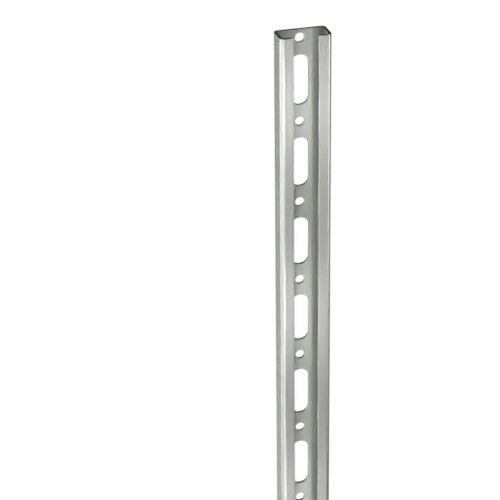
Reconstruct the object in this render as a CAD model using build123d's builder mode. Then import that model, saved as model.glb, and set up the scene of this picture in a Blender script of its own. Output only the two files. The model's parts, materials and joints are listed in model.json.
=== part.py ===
"""Perforated C-section mounting rail: one length of roll-formed steel strip.

The rail lies on its back. X runs along it, Y across it, and the mouth between the lips opens upwards, towards +Z.
The origin is on the web's outer face, midway along the rail and midway across it. All sizes are in millimetres.
"""

import os

from build123d import *

# The section
rail_length = 1000.0
rail_width = 30.0  # over both flanges
rail_depth = 15.0  # from the web's outer face to the lips' outer faces
strip_thickness = 1.75
inside_bend_radius = 0.75
lip_width = 7.75  # from a flange's outer face to that lip's free edge

# The perforation along the middle of the web: round holes, with a slot midway between each two
pitch = 50.0
hole_diameter = 5.5
slot_length = 30.0  # over its round ends
slot_width = 10.5
first_hole_inset = 5.0  # from the rail's +X end to the centre of its first round hole
least_end_web = 2.0  # unbroken web left beyond the last hole or slot at the -X end

outside_bend_radius = inside_bend_radius + strip_thickness
mouth_width = rail_width - 2 * lip_width
first_hole_x = rail_length / 2 - first_hole_inset
first_slot_x = first_hole_x - pitch / 2


def row_along_rail(first_x, opening_length):
    """Centres of like openings, one pitch apart, as many as leave the web whole at the -X end."""
    last_x = -rail_length / 2 + least_end_web + opening_length / 2
    count = int((first_x - last_x) // pitch) + 1
    return [(first_x - i * pitch, 0) for i in range(count)]


with BuildPart() as rail:
    # The closed box of the section, opened at the top between the lips' free edges
    with BuildSketch(Plane.YZ.offset(-rail_length / 2)) as section:
        with Locations((0, rail_depth / 2)):
            RectangleRounded(rail_width, rail_depth, outside_bend_radius)
            RectangleRounded(
                rail_width - 2 * strip_thickness,
                rail_depth - 2 * strip_thickness,
                inside_bend_radius,
                mode=Mode.SUBTRACT,
            )
        with Locations((0, rail_depth)):
            Rectangle(mouth_width, 2 * outside_bend_radius, mode=Mode.SUBTRACT)
    extrude(amount=rail_length)

    # The round holes and the slots, punched through the web
    with BuildSketch(Plane.XY) as perforation:
        with Locations(*row_along_rail(first_hole_x, hole_diameter)):
            Circle(hole_diameter / 2)
        with Locations(*row_along_rail(first_slot_x, slot_length)):
            SlotOverall(slot_length, slot_width)
    extrude(amount=strip_thickness, mode=Mode.SUBTRACT)

rail.part.label = "rail"

os.makedirs("parts", exist_ok=True)
export_step(rail.part, "parts/rail.step")
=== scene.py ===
"""Looks of the mounting rail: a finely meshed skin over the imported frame, its materials, studio and camera.

Lengths are in metres, in the row's frame: X along the rail, Y across it, Z up out of the channel's mouth.
"""

import json
import math

import bpy
from mathutils import Matrix, Vector


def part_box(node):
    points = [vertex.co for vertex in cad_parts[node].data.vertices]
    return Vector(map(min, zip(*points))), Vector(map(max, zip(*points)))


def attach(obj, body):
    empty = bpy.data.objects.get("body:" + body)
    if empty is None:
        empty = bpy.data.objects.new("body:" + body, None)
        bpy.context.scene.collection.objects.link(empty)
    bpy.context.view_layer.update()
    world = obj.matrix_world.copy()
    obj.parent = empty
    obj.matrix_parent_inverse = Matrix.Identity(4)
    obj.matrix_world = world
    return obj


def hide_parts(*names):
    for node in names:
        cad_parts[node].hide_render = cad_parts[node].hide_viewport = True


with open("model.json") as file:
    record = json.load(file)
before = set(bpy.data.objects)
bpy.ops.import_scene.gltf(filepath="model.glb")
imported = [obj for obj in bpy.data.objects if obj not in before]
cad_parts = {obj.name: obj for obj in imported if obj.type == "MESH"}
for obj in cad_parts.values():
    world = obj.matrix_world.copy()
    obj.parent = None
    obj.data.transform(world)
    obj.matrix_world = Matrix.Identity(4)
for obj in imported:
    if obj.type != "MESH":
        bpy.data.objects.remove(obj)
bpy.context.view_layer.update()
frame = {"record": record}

MM = 0.001

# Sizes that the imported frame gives
rail_low, rail_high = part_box("rail")
RAIL_LENGTH = rail_high[0] - rail_low[0]
RAIL_WIDTH = rail_high[1] - rail_low[1]
RAIL_DEPTH = rail_high[2] - rail_low[2]
mounts = {mount["name"]: mount for mount in frame["record"]["mounts"]}
SLOT_RADIUS = mounts["slots_adjacent"]["dims"]["hole_r_mm"] * MM
SLOT_LENGTH = mounts["slots_adjacent"]["dims"]["slot_length_mm"] * MM
HOLE_RADIUS = mounts["holes_adjacent"]["dims"]["hole_r_mm"] * MM
PITCH = mounts["slots_adjacent"]["dims"]["spacing_x_mm"] * MM
MIDDLE_OF_SLOTS = mounts["slots_end"]["pos_m"][0]
MIDDLE_OF_HOLES = mounts["holes_end"]["pos_m"][0]
COUNT = round(mounts["slots_end"]["dims"]["spacing_x_mm"] * MM / PITCH) + 1

# Sizes of the strip, as in the part's source
THICKNESS = 1.75 * MM
INSIDE_BEND_RADIUS = 0.75 * MM
LIP_WIDTH = 7.75 * MM
BEND_RADIUS = INSIDE_BEND_RADIUS + THICKNESS
LIP_EDGE = RAIL_WIDTH / 2 - LIP_WIDTH
HALF_WEB = RAIL_WIDTH / 2 - BEND_RADIUS  # half the width of the web's flat

# Small roundings that slitting, sawing and punching leave
SLIT_ROUNDING = 0.40 * MM
SAWN_ROUNDING = 0.10 * MM
PUNCH_ROLL = 0.28 * MM  # on the inner face, where the punch goes in
PUNCH_BURR = 0.08 * MM  # on the outer face, where it comes out

# How finely the skin is divided
BEND_STEPS = 10
ROUND_STEPS = 3  # of each small rounding
WEB_STEPS = 12  # across the flat of the web
HOLE_STEPS = 6  # along the stretch of a round hole
SLOT_END_STEPS = 4  # along a slot's stretch, beyond each end of its straight sides
STRAIGHT_STEPS = 6  # along a slot's straight sides

COATED, PUNCHED, SAWN = range(3)  # material slots of the skin
UV_MAP = "along_strip"

# The map for baking: the strip unrolled flat, its length folded into rows, the punched walls laid inside
# the openings
BAKE_MAP = "OFBake"
BAKE_ROWS = 3
BAKE_GAP = 1.2 * MM  # between two rows, and between the rail's end and its cap
BAKE_MARGIN = 4 * MM  # beyond the ends, where the caps lie


def web_lines():
    """Y of the lines along the web's flat, from +Y to -Y, evenly spaced in angle seen from a slot's end."""
    whole_web = (PITCH - SLOT_LENGTH - 2 * HOLE_RADIUS) / 2  # between a slot and the next round hole
    reach = whole_web / 2 + SLOT_RADIUS
    widest = math.atan(HALF_WEB / reach)
    steps = range(WEB_STEPS // 2, -WEB_STEPS // 2 - 1, -1)
    return [reach * math.tan(widest * 2 * step / WEB_STEPS) for step in steps]


def strip_stations():
    """Stations round the section from the +Y lip's edge to the -Y lip's, each (y, z, normal y, normal z) on
    the strip's middle, with the normal pointing out of the channel. Also the first and last station of the
    web's flat."""
    middle = BEND_RADIUS - THICKNESS / 2
    # Each bend's centre, and the angle in degrees from +Y that it starts from
    bends = [
        (HALF_WEB, RAIL_DEPTH - BEND_RADIUS, 90),
        (HALF_WEB, BEND_RADIUS, 0),
        (-HALF_WEB, BEND_RADIUS, -90),
        (-HALF_WEB, RAIL_DEPTH - BEND_RADIUS, -180),
    ]
    before_web = bends[1]
    lip_z = RAIL_DEPTH - THICKNESS / 2
    stations = [(LIP_EDGE + SLIT_ROUNDING, lip_z, 0.0, 1.0)]
    web = ()
    for bend in bends:
        y, z, start = bend
        for step in range(BEND_STEPS + 1):
            angle = math.radians(start - 90 * step / BEND_STEPS)
            ny, nz = math.cos(angle), math.sin(angle)
            stations.append((y + middle * ny, z + middle * nz, ny, nz))
        if bend is before_web:
            first = len(stations) - 1
            for line in web_lines()[1:-1]:
                stations.append((line, THICKNESS / 2, 0.0, -1.0))
            web = (first, len(stations))
    stations.append((-LIP_EDGE - SLIT_ROUNDING, lip_z, 0.0, 1.0))
    return stations, web


def slit_edge(sign, first, last):
    """The slit edge of the +Y or -Y lip, as sign says, its corners rounded: points like those of the strip's
    stations, their normals turning from angle first to angle last, in degrees from +Z."""
    upper = RAIL_DEPTH - SLIT_ROUNDING
    lower = RAIL_DEPTH - THICKNESS + SLIT_ROUNDING
    y = sign * (LIP_EDGE + SLIT_ROUNDING)
    turn = (last - first) / 2
    points = []
    for corner, z in enumerate((lower, upper) if sign > 0 else (upper, lower)):
        for step in range(ROUND_STEPS + 1):
            angle = math.radians(first + turn * (corner + step / ROUND_STEPS))
            ny, nz = math.sin(angle), math.cos(angle)
            points.append((y + SLIT_ROUNDING * ny, z + SLIT_ROUNDING * nz, ny, nz))
    return points[1:-1]


def section_ring():
    """The closed outline of the section as (y, z, normal y, normal z, distance round it): the outer side
    from +Y to -Y, the -Y lip's edge, the inner side back, and the +Y lip's edge. Also, as numbers in it, the
    first and last point of each of the web's flats, the outer side's last and the inner side's first."""
    stations, web = strip_stations()
    half = THICKNESS / 2
    outer = [(y + ny * half, z + nz * half, ny, nz) for y, z, ny, nz in stations]
    inner = [(y - ny * half, z - nz * half, -ny, -nz) for y, z, ny, nz in reversed(stations)]
    ring = outer + slit_edge(-1, 0, 180) + inner + slit_edge(1, 180, 360)
    rounds = [0.0]
    for (y, z, _, _), (next_y, next_z, _, _) in zip(ring, ring[1:]):
        rounds.append(rounds[-1] + math.hypot(next_y - y, next_z - z))
    ring = [(*point, distance) for point, distance in zip(ring, rounds)]
    outer_end = len(outer) - 1
    inner_start = len(outer) + 2 * ROUND_STEPS
    inner_end = inner_start + outer_end
    flats = {"outer": web, "inner": (inner_end - web[1], inner_end - web[0])}
    return ring, flats, outer_end, inner_start


class Skin:
    """Vertices with their exact normals, and faces with their material, gathered for one mesh."""

    def __init__(self):
        self.points = []
        self.normals = []
        self.rounds = []  # how far round the section's outline each vertex lies
        self.faces = []
        self.materials = []
        self.places = []  # of each face's corners on the unrolled strip
        self.folds = []  # each face's row on the map for baking, and the X where that row begins
        self.fold = (0, 0.0)  # the same for the faces being added
        self.outline = 0.0  # length of the section's outline

    def vertex(self, point, normal, round_strip):
        """Adds a vertex and returns its number; round_strip is how far round the outline it lies."""
        self.points.append(point)
        self.normals.append(normal)
        self.rounds.append(round_strip)
        return len(self.points) - 1

    def row(self, ring, x, inset=0.0, lean=0.0):
        """Adds the outline at x, drawn in by inset, its normals leaning along X by the sine lean."""
        upright = math.sqrt(1 - lean * lean)
        numbers = []
        for y, z, ny, nz, distance in ring:
            point = (x, y - ny * inset, z - nz * inset)
            numbers.append(self.vertex(point, (lean, ny * upright, nz * upright), distance))
        return numbers

    def face(self, corners, material=COATED, flat=None):
        """Adds a face; flat gives its corners' places on the unrolled strip where those aren't X and the
        distance round it."""
        self.faces.append(corners)
        self.materials.append(material)
        self.places.append([flat[c] if flat else (self.points[c][0], self.rounds[c]) for c in corners])
        self.folds.append(self.fold)

    def strip(self, first, second, material=COATED, flat=None):
        """Quads between two closed rows of vertices, each wound first, then second."""
        count = len(first)
        for k in range(count):
            n = (k + 1) % count
            self.face((first[k], first[n], second[n], second[k]), material, flat)

    def places_for_baking(self):
        """Every corner's place on the map for baking, in a square of side 1."""
        step = self.outline + BAKE_GAP
        side = BAKE_ROWS * step + BAKE_GAP
        places = []
        for face, (number, start) in zip(self.places, self.folds):
            rounds = [around for _, around in face]
            over_start = max(rounds) - min(rounds) > self.outline / 2
            for x, around in face:
                if over_start and around < self.outline / 2:
                    around += self.outline
                places += ((x - start + BAKE_MARGIN) / side, (around + number * step + BAKE_GAP) / side)
        return places

    def build(self, name):
        """The mesh of everything added, with its normals and its two maps."""
        mesh = bpy.data.meshes.new(name)
        mesh.from_pydata(self.points, [], self.faces)
        mesh.polygons.foreach_set("material_index", self.materials)
        mesh.polygons.foreach_set("use_smooth", [True] * len(self.faces))
        mesh.update()
        mesh.normals_split_custom_set_from_vertices([Vector(n).normalized() for n in self.normals])
        places = []
        for loop in mesh.loops:
            places += (self.points[loop.vertex_index][0], self.rounds[loop.vertex_index])
        mesh.uv_layers.new(name=UV_MAP).data.foreach_set("uv", places)
        mesh.uv_layers.new(name=BAKE_MAP).data.foreach_set("uv", self.places_for_baking())
        return mesh


class Opening:
    """A slot or round hole in the web, in its own stretch of the rail from low_x to high_x."""

    def __init__(self, centre, straight, radius, low_x, high_x):
        self.centre = centre
        self.straight = straight  # from its centre to each end of its straight sides, 0 for a round hole
        self.radius = radius
        self.low_x = low_x
        self.high_x = high_x

    def stations(self):
        """X of the stations along this stretch, from high to low, evenly spaced in angle round the ends."""
        if self.straight == 0:
            high = math.atan((self.high_x - self.centre) / HALF_WEB)
            low = math.atan((self.centre - self.low_x) / HALF_WEB)
            angles = [high - (high + low) * step / HOLE_STEPS for step in range(HOLE_STEPS + 1)]
            return [self.centre + HALF_WEB * math.tan(angle) for angle in angles]
        high_part = self.stations_beyond(self.high_x, 1)[::-1]
        low_part = self.stations_beyond(self.low_x, -1)
        step = 2 * self.straight / STRAIGHT_STEPS
        between = [self.centre + self.straight - step * k for k in range(1, STRAIGHT_STEPS)]
        return high_part + between + low_part

    def stations_beyond(self, border, side):
        """X of the stations from the end of the straight sides to the border, on the side +1 or -1 of X."""
        middle = self.centre + side * self.straight
        widest = math.atan((border - middle) * side / HALF_WEB)
        angles = [widest * step / SLOT_END_STEPS for step in range(SLOT_END_STEPS + 1)]
        return [middle + side * HALF_WEB * math.tan(angle) for angle in angles]

    def towards(self, x, y):
        """X of the opening's middle line where it is nearest to (x, y), and the direction from there."""
        middle = max(self.centre - self.straight, min(self.centre + self.straight, x))
        away = Vector((x - middle, y))
        return middle, away.normalized()


def openings():
    """All openings from the +X end to the -X end, each with its stretch of the rail."""
    low_end = -RAIL_LENGTH / 2 + SAWN_ROUNDING
    high_end = RAIL_LENGTH / 2 - SAWN_ROUNDING
    straight = SLOT_LENGTH / 2 - SLOT_RADIUS
    found = []
    for i in range(COUNT):
        step = (COUNT - 1) / 2 * PITCH - i * PITCH
        found.append((MIDDLE_OF_HOLES + step, 0.0, HOLE_RADIUS))
        found.append((MIDDLE_OF_SLOTS + step, straight, SLOT_RADIUS))
    found.sort(key=lambda one: -one[0])
    borders = [high_end]
    for one, after in zip(found, found[1:]):
        edge = one[0] - one[1] - one[2]
        next_edge = after[0] + after[1] + after[2]
        borders.append((edge + next_edge) / 2)
    borders.append(low_end)
    return [Opening(*one, borders[k + 1], borders[k]) for k, one in enumerate(found)]


def punch(skin, opening, outer_loop, inner_loop):
    """Joins the two faces of the web round an opening: flat, rolled edge, wall, burr edge and flat again."""
    flat = {}  # places on the unrolled strip, where the wall lies inside its opening, as deep as it is

    def ring(loop, grow, z, normal_z):
        """One row of vertices round the opening, grow outside its wall at height z."""
        reach = opening.radius + grow
        reach_flat = opening.radius - (THICKNESS - z) + (-grow if loop is outer_loop else grow)
        level = math.sqrt(1 - normal_z * normal_z)
        row = []
        for number, inner in zip(loop, inner_loop):
            x, y, _ = skin.points[number]
            middle, away = opening.towards(x, y)
            normal = (-away.x * level, -away.y * level, normal_z)
            y_there = away.y * reach
            moved = y - y_there if loop is outer_loop else y_there - y
            vertex = skin.vertex((middle + away.x * reach, y_there, z), normal, skin.rounds[number] + moved)
            around = skin.rounds[inner] + away.y * reach_flat - skin.points[inner][1]
            flat[vertex] = (middle + away.x * reach_flat, around)
            row.append(vertex)
        return row

    rows = [inner_loop]
    for step in range(ROUND_STEPS + 1):
        angle = math.pi / 2 * step / ROUND_STEPS
        grow = PUNCH_ROLL * (1 - math.sin(angle))
        drop = PUNCH_ROLL * (1 - math.cos(angle))
        rows.append(ring(inner_loop, grow, THICKNESS - drop, math.cos(angle)))
    wall = len(rows) - 1  # the wall begins at this row
    for step in range(ROUND_STEPS, -1, -1):
        angle = math.pi / 2 * step / ROUND_STEPS
        grow = PUNCH_BURR * (1 - math.sin(angle))
        rise = PUNCH_BURR * (1 - math.cos(angle))
        rows.append(ring(outer_loop, grow, rise, -math.cos(angle)))
    rows.append(outer_loop)
    for number, (upper, lower) in enumerate(zip(rows, rows[1:])):
        in_web = upper is inner_loop or lower is outer_loop
        material = PUNCHED if number >= wall and not in_web else COATED
        skin.strip(lower, upper, material, None if in_web else flat)


def saw(skin, ring, outer_end, inner_start, end_row, sign):
    """The sawn +X or -X end, as sign says: a small rounding, then a flat cap across the strip."""
    flat = {number: (skin.points[number][0], skin.rounds[number]) for number in end_row}
    before = end_row
    for step in range(1, ROUND_STEPS + 1):
        angle = math.pi / 2 * step / ROUND_STEPS
        x = sign * (RAIL_LENGTH / 2 - SAWN_ROUNDING * (1 - math.sin(angle)))
        inset = SAWN_ROUNDING * (1 - math.cos(angle))
        here = skin.row(ring, x, inset, sign * math.sin(angle))
        flat.update({number: (x + sign * inset, skin.rounds[number]) for number in here})
        first, second = (here, before) if sign > 0 else (before, here)
        skin.strip(first, second, SAWN, flat)
        before = here

    # On the unrolled strip the cap lies beyond the end, as wide as the strip is thick
    cap_x = sign * (RAIL_LENGTH / 2 + SAWN_ROUNDING + BAKE_GAP)
    inner_end = inner_start + outer_end
    outer = before[:outer_end + 1]
    inner = before[inner_end:inner_start - 1:-1]
    for over, under in zip(outer, inner):
        flat[over] = (cap_x, skin.rounds[over])
        flat[under] = (cap_x + sign * THICKNESS, skin.rounds[over])
    for k in range(outer_end):
        corners = (outer[k], outer[k + 1], inner[k + 1], inner[k])
        skin.face(corners[::-1] if sign > 0 else corners, SAWN, flat)

    # Beyond the cap's last quads lie the lips' slit edges, between their rounded corners
    low_lip = before[outer_end:inner_start + 1]
    high_lip = before[inner_end:] + before[:1]
    for lip, nearest, way in ((low_lip, outer[-1], 1), (high_lip, outer[0], -1)):
        for number in lip:
            _, y, z = skin.points[number]
            beyond = abs(skin.points[nearest][1]) - abs(y)
            flat[number] = (cap_x + sign * (RAIL_DEPTH - z), skin.rounds[nearest] + way * beyond)
        skin.face(tuple(lip[::-1] if sign > 0 else lip), SAWN, flat)


def rail_skin():
    """The whole rail as one closed mesh."""
    skin = Skin()
    ring, flats, outer_end, inner_start = section_ring()
    skin.outline = ring[-1][4] + math.hypot(ring[0][0] - ring[-1][0], ring[0][1] - ring[-1][1])

    # Each opening's row on the map for baking, and the X where that row begins
    all_openings = openings()
    in_row = math.ceil(len(all_openings) / BAKE_ROWS)
    folds = []
    for k in range(len(all_openings)):
        number = k // in_row
        last = min((number + 1) * in_row, len(all_openings)) - 1
        folds.append((number, all_openings[last].low_x))

    # The stations along the rail, and each opening's first and last
    xs = all_openings[0].stations()[:1]
    spans = []
    for opening in all_openings:
        start = len(xs) - 1
        xs += opening.stations()[1:]
        spans.append((start, len(xs) - 1))

    # The outline's vertices at each station, across the web's flats only at the openings' borders
    borders = {first for first, _ in spans} | {len(xs) - 1}
    in_flat = {k for low, high in flats.values() for k in range(low + 1, high)}
    rows = []
    for i, x in enumerate(xs):
        if i in borders:
            rows.append(skin.row(ring, x))
            continue
        row = []
        for k, (y, z, ny, nz, distance) in enumerate(ring):
            row.append(None if k in in_flat else skin.vertex((x, y, z), (0.0, ny, nz), distance))
        rows.append(row)

    # The strip outside the web's flats. The faces between the lips' rounded corners are the slit edges
    flat_edges = {k for low, high in flats.values() for k in range(low, high)}
    slit_edges = {outer_end + ROUND_STEPS, inner_start + outer_end + ROUND_STEPS}
    for (first, last), fold in zip(spans, folds):
        skin.fold = fold
        for here, after in zip(rows[first:last], rows[first + 1:last + 1]):
            for k in range(len(ring)):
                if k in flat_edges:
                    continue
                n = (k + 1) % len(ring)
                material = PUNCHED if k in slit_edges else COATED
                skin.face((here[k], here[n], after[n], after[k]), material)

    # The web's flats round each opening; loops run the same way round, seen from above
    for opening, (first, last), fold in zip(all_openings, spans, folds):
        skin.fold = fold
        loops = {}
        for side, (low, high) in flats.items():
            across_high = [rows[first][k] for k in range(low, high + 1)]
            across_low = [rows[last][k] for k in range(low, high + 1)]
            along_low = [rows[i][low] for i in range(first, last + 1)]
            along_high = [rows[i][high] for i in range(first, last + 1)]
            loops[side] = across_high[:-1] + along_high[:-1] + across_low[:0:-1] + along_low[:0:-1]
        # The inner flat's numbers run from -Y to +Y, so its loop is turned and shifted onto the outer one's
        inner = loops["inner"]
        inner = inner[WEB_STEPS::-1] + inner[:WEB_STEPS:-1]
        punch(skin, opening, loops["outer"], inner)

    for sign, end_row, fold in ((1, rows[0], folds[0]), (-1, rows[-1], folds[-1])):
        skin.fold = fold
        saw(skin, ring, outer_end, inner_start, end_row, sign)
    return skin


class Nodes:
    """Short ways to add nodes to one node tree."""

    def __init__(self, tree):
        self.tree = tree

    def add(self, kind, inputs=None, **settings):
        """Adds a node with these settings, its inputs linked or set by name or number."""
        node = self.tree.nodes.new(kind)
        for name, value in settings.items():
            setattr(node, name, value)
        for key, value in (inputs or {}).items():
            self.put(node.inputs[key], value)
        return node

    def put(self, socket, value):
        """Links an output to the socket, or sets the socket's own value."""
        if isinstance(value, bpy.types.NodeSocket):
            self.tree.links.new(value, socket)
        else:
            socket.default_value = value

    def math(self, operation, *values):
        return self.add("ShaderNodeMath", dict(enumerate(values)), operation=operation).outputs[0]

    def ramp(self, value, low, high, to_low=0.0, to_high=1.0, smooth=True):
        """The value's range low to high mapped to to_low to to_high, and held beyond it."""
        inputs = {"Value": value, "From Min": low, "From Max": high, "To Min": to_low, "To Max": to_high}
        kind = "SMOOTHSTEP" if smooth else "LINEAR"
        return self.add("ShaderNodeMapRange", inputs, interpolation_type=kind).outputs[0]

    def blend(self, factor, first, second):
        """A colour between the two."""
        node = self.add("ShaderNodeMix", data_type="RGBA")
        for socket, value in zip([node.inputs[0], node.inputs[6], node.inputs[7]], [factor, first, second]):
            self.put(socket, value)
        return node.outputs[2]

    def noise(self, place, scale, detail):
        """Noise with its own scale along each axis, in cells a metre."""
        spread = self.add("ShaderNodeVectorMath", {0: place, 1: scale}, operation="MULTIPLY").outputs[0]
        inputs = {"Vector": spread, "Scale": 1.0, "Detail": detail}
        return self.add("ShaderNodeTexNoise", inputs).outputs["Fac"]

    def bump(self, height, strength, depth):
        """The normal of a surface with this height, a height of 1 standing up by depth."""
        inputs = {"Height": height, "Strength": strength, "Distance": depth}
        return self.add("ShaderNodeBump", inputs).outputs[0]


def new_material(name):
    """An empty node material: its nodes, its Principled shader, and the place on the rail in metres."""
    material = bpy.data.materials.new(name)
    material.use_nodes = True
    nodes = Nodes(material.node_tree)
    shader = material.node_tree.nodes["Principled BSDF"]
    place = nodes.add("ShaderNodeTexCoord").outputs["Object"]
    return material, nodes, shader, place


# Zinc coat of the strip. Rolling left fine lines along it, so it mirrors sharply along the rail and widely
# across. Scales of noise, here and below, are in cells a metre along X, Y and Z.
ZINC_LIGHT = (0.640, 0.655, 0.598, 1)
ZINC_DARK = (0.567, 0.582, 0.531, 1)
ZINC_METALLIC = 0.7  # the rest scatters light like a matt oxide
ZINC_ROUGHNESS = 0.21
ZINC_ANISOTROPY = 1.0
ZINC_TURN = 0.25  # of a full turn, from the direction along the rail
ZINC_BUMP = (0.1, 0.02 * MM)  # strength and depth, as in the other materials
LINE_SCALE = (2, 900, 900)
BAND_SCALE = (1.5, 260, 260)
MOTTLE_SCALE = (160, 260, 260)
SPANGLE_SIZE = 2.2 * MM
LINE_SHARE = 0.55  # of the zinc's tone, as the next three
BAND_SHARE = 0.35
MOTTLE_SHARE = 0.06
SPANGLE_SHARE = 0.04
ZINC_TONES = (0.33, 0.67)  # the tones of the darkest and of the lightest zinc
LINE_ROUGHNESS = 0.02  # between the smoothest and the roughest roll line
INNER_DEPTH = 0.7 * THICKNESS  # under the section's outside, from where on it is the strip's inner side
INNER_PAINTED_LIGHT = 0.10  # painted light: how much lighter the strip's inner side is made, against the shade inside the channel
ZINC_PAINTED_SHADE = (0.275, 0.285, 0.26, 1)  # painted shade: darker zinc in the channel's corners, where shade falls
PAINTED_SHADE_FROM, PAINTED_SHADE_FULL = 8.8 * MM, 12.9 * MM  # across the rail, from its middle
PAINTED_SHADE_COVER = 0.88  # the zinc's own lines still show through the painted shade
PAINTED_SHADE_RAGGED = 1 * MM  # how far the mottle moves its edge


def zinc_coat():
    material, nodes, shader, place = new_material("zinc_coat")
    lines = nodes.noise(place, LINE_SCALE, detail=2)
    bands = nodes.noise(place, BAND_SCALE, detail=2)
    mottle = nodes.noise(place, MOTTLE_SCALE, detail=3)
    spangle = nodes.add("ShaderNodeTexVoronoi", {"Vector": place, "Scale": 1 / SPANGLE_SIZE})
    crystal = nodes.add("ShaderNodeSeparateColor", {0: spangle.outputs["Color"]}).outputs[0]
    tone = nodes.math("MULTIPLY_ADD", lines, LINE_SHARE, nodes.math("MULTIPLY", bands, BAND_SHARE))
    tone = nodes.math("MULTIPLY_ADD", mottle, MOTTLE_SHARE, tone)
    tone = nodes.math("MULTIPLY_ADD", crystal, SPANGLE_SHARE, tone)
    zinc_colour = nodes.blend(nodes.ramp(tone, *ZINC_TONES, smooth=False), ZINC_DARK, ZINC_LIGHT)

    part = nodes.add("ShaderNodeSeparateXYZ", {0: place})
    aside = nodes.math("ABSOLUTE", part.outputs[1])
    height = part.outputs[2]
    inside = nodes.math("LESS_THAN", aside, RAIL_WIDTH / 2 - INNER_DEPTH)
    inside = nodes.math("MULTIPLY", inside, nodes.math("LESS_THAN", height, RAIL_DEPTH - INNER_DEPTH))
    inside = nodes.math("MULTIPLY", inside, nodes.math("GREATER_THAN", height, INNER_DEPTH))
    # Painted light: the strip's inner side is made lighter, against the shade that falls inside the channel.
    inner_painted_light = nodes.math("MULTIPLY_ADD", inside, INNER_PAINTED_LIGHT, 1.0)
    zinc_colour = nodes.add("ShaderNodeVectorMath", {0: zinc_colour, "Scale": inner_painted_light}, operation="SCALE").outputs[0]
    # Painted shade: the zinc darkens towards the channel's inner corners, where shade falls; the mottle makes
    # its edge ragged.
    ragged = nodes.math("MULTIPLY_ADD", mottle, PAINTED_SHADE_RAGGED, nodes.math("SUBTRACT", aside, PAINTED_SHADE_RAGGED / 2))
    painted_shade = nodes.math("MULTIPLY", inside, nodes.ramp(ragged, PAINTED_SHADE_FROM, PAINTED_SHADE_FULL, 0.0, PAINTED_SHADE_COVER))
    nodes.put(shader.inputs["Base Color"], nodes.blend(painted_shade, zinc_colour, ZINC_PAINTED_SHADE))

    rough = nodes.math("MULTIPLY_ADD", lines, LINE_ROUGHNESS, ZINC_ROUGHNESS - LINE_ROUGHNESS / 2)
    nodes.put(shader.inputs["Roughness"], rough)
    nodes.put(shader.inputs["Normal"], nodes.bump(lines, *ZINC_BUMP))
    tangent = nodes.add("ShaderNodeTangent", direction_type="UV_MAP", uv_map=UV_MAP)
    nodes.put(shader.inputs["Tangent"], tangent.outputs[0])
    shader.inputs["Metallic"].default_value = ZINC_METALLIC
    shader.inputs["Anisotropic"].default_value = ZINC_ANISOTROPY
    shader.inputs["Anisotropic Rotation"].default_value = ZINC_TURN
    return material


# Walls that the punch and the slitting knives left: bright where cut, rough and darker where the steel broke
CUT_BRIGHT = (0.60, 0.61, 0.58, 1)
CUT_ROUGH = (0.42, 0.427, 0.41, 1)
CUT_WORN = (0.50, 0.508, 0.485, 1)
STREAK_SCALE = (2600, 2600, 240)
CUT_GRIT_SCALE = (5200, 5200, 5200)
CUT_FROM, CUT_FULL = 1.15 * MM, 1.45 * MM  # height in the web where the cut part begins and is whole
STREAK_REACH = 0.5 * MM  # how much lower the strongest streak carries it
CUT_ROUGHNESS = (0.55, 0.42)  # where the steel broke and where it was cut
CUT_GRIT_HEIGHT = 0.6  # of the grit, against that of the streaks
CUT_BUMP = (0.5, 0.04 * MM)


def punched_wall():
    material, nodes, shader, place = new_material("punched_wall")
    streaks = nodes.noise(place, STREAK_SCALE, detail=3)
    grit = nodes.noise(place, CUT_GRIT_SCALE, detail=4)
    height = nodes.add("ShaderNodeSeparateXYZ", {0: place}).outputs[2]
    edge = nodes.math("MULTIPLY_ADD", streaks, STREAK_REACH, height)
    burnish = nodes.ramp(edge, CUT_FROM, CUT_FULL)
    torn = nodes.blend(grit, CUT_ROUGH, CUT_WORN)
    nodes.put(shader.inputs["Base Color"], nodes.blend(burnish, torn, CUT_BRIGHT))
    nodes.put(shader.inputs["Roughness"], nodes.ramp(burnish, 0.0, 1.0, *CUT_ROUGHNESS))
    relief = nodes.math("MULTIPLY_ADD", grit, CUT_GRIT_HEIGHT, streaks)
    nodes.put(shader.inputs["Normal"], nodes.bump(relief, *CUT_BUMP))
    shader.inputs["Metallic"].default_value = 1.0
    return material


# Sawn ends: bare steel with the blade's fine marks straight across
SAWN_LIGHT = (0.27, 0.27, 0.255, 1)
SAWN_DARK = (0.12, 0.12, 0.11, 1)
MARK_SCALE = (90, 260, 5200)
SAWN_GRIT_SCALE = (4200, 4200, 4200)
MARK_SHARE = 0.6  # of the tone, as the next
SAWN_GRIT_SHARE = 0.4
SAWN_TONES = (0.3, 0.7)  # the tones of the darkest and of the lightest steel
SAWN_ROUGHNESS = (0.60, 0.45)  # of the same two
SAWN_METALLIC = 0.6
SAWN_BUMP = (0.5, 0.05 * MM)


def sawn_face():
    material, nodes, shader, place = new_material("sawn_face")
    marks = nodes.noise(place, MARK_SCALE, detail=4)
    grit = nodes.noise(place, SAWN_GRIT_SCALE, detail=3)
    tone = nodes.math("MULTIPLY_ADD", grit, SAWN_GRIT_SHARE, nodes.math("MULTIPLY", marks, MARK_SHARE))
    nodes.put(shader.inputs["Base Color"], nodes.blend(nodes.ramp(tone, *SAWN_TONES), SAWN_DARK, SAWN_LIGHT))
    nodes.put(shader.inputs["Roughness"], nodes.ramp(tone, *SAWN_TONES, *SAWN_ROUGHNESS))
    nodes.put(shader.inputs["Normal"], nodes.bump(tone, *SAWN_BUMP))
    shader.inputs["Metallic"].default_value = SAWN_METALLIC
    return material


def add_rail():
    """The rail's skin with its materials, in place of the CAD rail."""
    mesh = rail_skin().build("rail_skin")
    for material in (zinc_coat(), punched_wall(), sawn_face()):
        mesh.materials.append(material)
    rail = bpy.data.objects.new("rail_skin", mesh)
    bpy.context.scene.collection.objects.link(rail)
    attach(rail, "root")
    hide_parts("rail")


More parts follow.
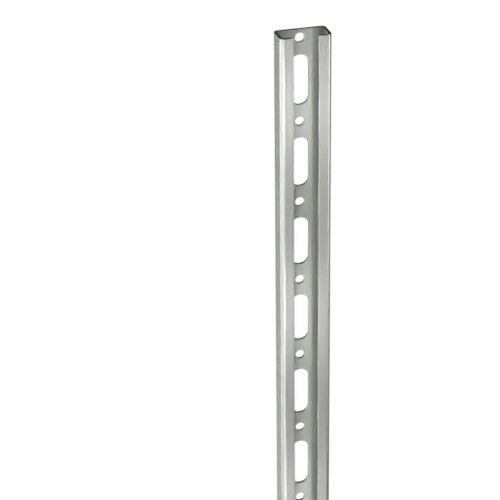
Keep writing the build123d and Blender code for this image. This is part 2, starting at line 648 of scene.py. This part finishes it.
# The camera, found from the photograph: where its axis meets the floor, and how it looks there
VIEW_POINT = Vector((RAIL_LENGTH / 2 - 0.1326, 0.02955, 0.0))
VIEW_DIRECTION = Vector((0.43894, 0.22980, 0.86863)).normalized()  # from there to the camera
VIEW_DISTANCE = 1.2151
VIEW_TILT = math.radians(0.730)  # of the rail's length from upright in the picture
LENS_MM = 151.477
SENSOR_MM = 36.0
CLIP_NEAR, CLIP_FAR = 0.05, 20.0


def add_camera():
    data = bpy.data.cameras.new("camera")
    data.lens = LENS_MM
    data.sensor_width = SENSOR_MM
    data.clip_start = CLIP_NEAR
    data.clip_end = CLIP_FAR
    camera = bpy.data.objects.new("camera", data)
    bpy.context.scene.collection.objects.link(camera)
    back = VIEW_DIRECTION
    along = Vector((1, 0, 0))
    up = (along - back * along.dot(back)).normalized()
    up = Matrix.Rotation(-VIEW_TILT, 3, back) @ up
    right = up.cross(back)
    turn = Matrix((right, up, back)).transposed()
    camera.matrix_world = Matrix.Translation(VIEW_POINT + back * VIEW_DISTANCE) @ turn.to_4x4()
    bpy.context.scene.camera = camera


WHITE = (1, 1, 1, 1)
FLOOR_COLOUR = (0.16, 0.16, 0.16, 1)
FLOOR_GLOW = 0.92  # the light that it gives off itself
FLOOR_HALF = 6.0  # half its side
FLOOR_DROP = 0.02 * MM  # under the rail's back, so that the two faces don't coincide


def add_floor():
    """A pale floor like a light table, so bright that it shows hardly any shadow. It throws no light on the
    rail."""
    half = FLOOR_HALF
    mesh = bpy.data.meshes.new("floor")
    corners = [(-half, -half, 0), (half, -half, 0), (half, half, 0), (-half, half, 0)]
    mesh.from_pydata(corners, [], [(0, 1, 2, 3)])
    floor = bpy.data.objects.new("floor", mesh)
    bpy.context.scene.collection.objects.link(floor)
    floor.location.z = -FLOOR_DROP
    floor.visible_glossy = False
    floor.visible_diffuse = False
    material = bpy.data.materials.new("floor")
    material.use_nodes = True
    shader = material.node_tree.nodes["Principled BSDF"]
    shader.inputs["Base Color"].default_value = FLOOR_COLOUR
    shader.inputs["Roughness"].default_value = 1.0
    shader.inputs["Specular IOR Level"].default_value = 0.0
    shader.inputs["Emission Color"].default_value = WHITE
    shader.inputs["Emission Strength"].default_value = FLOOR_GLOW
    mesh.materials.append(material)


# Soft lamps along the rail. Each has its angle from straight up towards +Y, as the rail's +X end and as its
# far part mirror it, its half width and its soft edge, all in degrees, and its brightness for the two parts
OVERHEAD = (2.5, 0, 5, 4, 4.8, 3.5)
OVERHEAD_LEFT = (24, 25, 4, 3, 7.2, 7.5)
OVERHEAD_SOFT = (0, 0, 30, 12, 0.75, 0.75)  # in place of OVERHEAD where the rail is seen from straight above
LEFT = (60, 68.5, 5, 4, 3.9, 4.7)
LEFT_LOW = (93, 84, 5, 4, 7.5, 0.0)
LEFT_FLOOR = (130, 132, 6, 4, 3.8, 7.0)
RIGHT = (-48, -48, 4, 3, 10.5, 0.0)
RIGHT_LOW = (-118, -118, 20, 14, 0.5, 0.5)
BELOW = (170, 170, 22, 6, 0.26, 0.22)
BACKDROP = 1.0  # brightness of what the camera sees in their place

# Where the lamps change lengthwise, each place given by the X of the direction that they are seen in
LENGTHWISE = (-0.35, -0.54)  # as the rail's +X end and as its far part mirror them
SHIELDED_ENDS = (0.1, -0.25)  # RIGHT and BELOW are dark before the first and full from the second on
SOFT_ENDS = (-0.31, -0.17)  # OVERHEAD gives way to OVERHEAD_SOFT
LAMP_ENDS = (0.15, 0.75)  # all lamps begin to dim, and are dimmest
LAMP_END_LIGHT = 0.4
LAMP_FAR_ENDS = (-0.62, -0.92)  # the same for the other end
LAMP_FAR_LIGHT = 0.2

# OVERHEAD and OVERHEAD_LEFT have rows of short tubes; places along X are in shares of the tubes' distance
TUBE_SPACING = 0.118
TUBE_PLACE = -0.5244  # one tube's middle
TUBE_ENDS = (0.6, 1.0)  # of the wave that puts them in a row: dark below the first, full above the second
TUBE_GAP, TUBE_BRIGHT = 0.0, 5.0  # brightness between two tubes, and of a tube
TUBE_FADE = (1.0, 1.5)  # places between which the tubes run together into one even light
TUBE_SHARE_LEFT = 0.1  # share of OVERHEAD_LEFT that comes from such tubes, the rest being even
LEAST_DISTANCE = 0.01  # keeps those places finite in directions along X


def tube_light(nodes, x, y, z):
    """Brightness of the rows of tubes in the direction x, y, z."""
    squares = nodes.math("ADD", nodes.math("MULTIPLY", y, y), nodes.math("MULTIPLY", z, z))
    distance = nodes.math("MAXIMUM", nodes.math("SQRT", squares), LEAST_DISTANCE)
    along = nodes.math("DIVIDE", x, distance)
    phase = nodes.math("MULTIPLY", nodes.math("SUBTRACT", along, TUBE_PLACE), 2 * math.pi / TUBE_SPACING)
    tubes = nodes.ramp(nodes.math("COSINE", phase), *TUBE_ENDS, TUBE_GAP, TUBE_BRIGHT)
    even = nodes.ramp(nodes.math("ABSOLUTE", along), *TUBE_FADE)
    return nodes.math("ADD", nodes.math("MULTIPLY", tubes, nodes.math("SUBTRACT", 1, even)), even)


def add_light():
    """The studio's light as the world's: soft bands along X, with tubes in those overhead, dimmed towards
    both ends. The camera sees a plain backdrop in their place."""
    world = bpy.data.worlds.new("studio")
    bpy.context.scene.world = world
    world.use_nodes = True
    nodes = Nodes(world.node_tree)
    direction = nodes.add("ShaderNodeTexCoord").outputs["Generated"]
    x, y, z = nodes.add("ShaderNodeSeparateXYZ", {0: direction}).outputs
    across = nodes.math("DEGREES", nodes.math("ARCTAN2", y, z))

    def lamp(near_angle, far_angle, half, soft, near, far):
        """Brightness of one lamp, as the table of lamps above describes it."""
        centre = nodes.ramp(x, *LENGTHWISE, near_angle, far_angle, smooth=False)
        away = nodes.math("ABSOLUTE", nodes.math("SUBTRACT", across, centre))
        away = nodes.math("MINIMUM", away, nodes.math("SUBTRACT", 360, away))
        shape = nodes.ramp(away, half + soft, half - soft)
        return nodes.math("MULTIPLY", shape, nodes.ramp(x, *LENGTHWISE, near, far, smooth=False))

    tubes = tube_light(nodes, x, y, z)
    soft_part = nodes.ramp(x, *SOFT_ENDS)
    tube_part = nodes.math("MULTIPLY", tubes, nodes.math("SUBTRACT", 1, soft_part))
    total = nodes.math("MULTIPLY", lamp(*OVERHEAD), tube_part)
    total = nodes.math("MULTIPLY_ADD", lamp(*OVERHEAD_SOFT), soft_part, total)
    partly = nodes.math("MULTIPLY_ADD", tubes, TUBE_SHARE_LEFT, 1 - TUBE_SHARE_LEFT)
    total = nodes.math("MULTIPLY_ADD", lamp(*OVERHEAD_LEFT), partly, total)
    shielded = nodes.math("ADD", lamp(*RIGHT), lamp(*BELOW))
    total = nodes.math("MULTIPLY_ADD", shielded, nodes.ramp(x, *SHIELDED_ENDS), total)
    for band in (LEFT, LEFT_LOW, LEFT_FLOOR, RIGHT_LOW):
        total = nodes.math("ADD", total, lamp(*band))
    total = nodes.math("MULTIPLY", total, nodes.ramp(x, *LAMP_ENDS, 1.0, LAMP_END_LIGHT))
    total = nodes.math("MULTIPLY", total, nodes.ramp(x, *LAMP_FAR_ENDS, 1.0, LAMP_FAR_LIGHT))

    seen = nodes.add("ShaderNodeLightPath").outputs["Is Camera Ray"]
    strength = nodes.add("ShaderNodeMix", {"Factor": seen, "A": total, "B": BACKDROP}).outputs["Result"]
    background = world.node_tree.nodes["Background"]
    nodes.put(background.inputs["Strength"], strength)
    background.inputs["Color"].default_value = WHITE


add_rail()
add_camera()
add_floor()
add_light()
bpy.context.scene.view_settings.view_transform = "Standard"
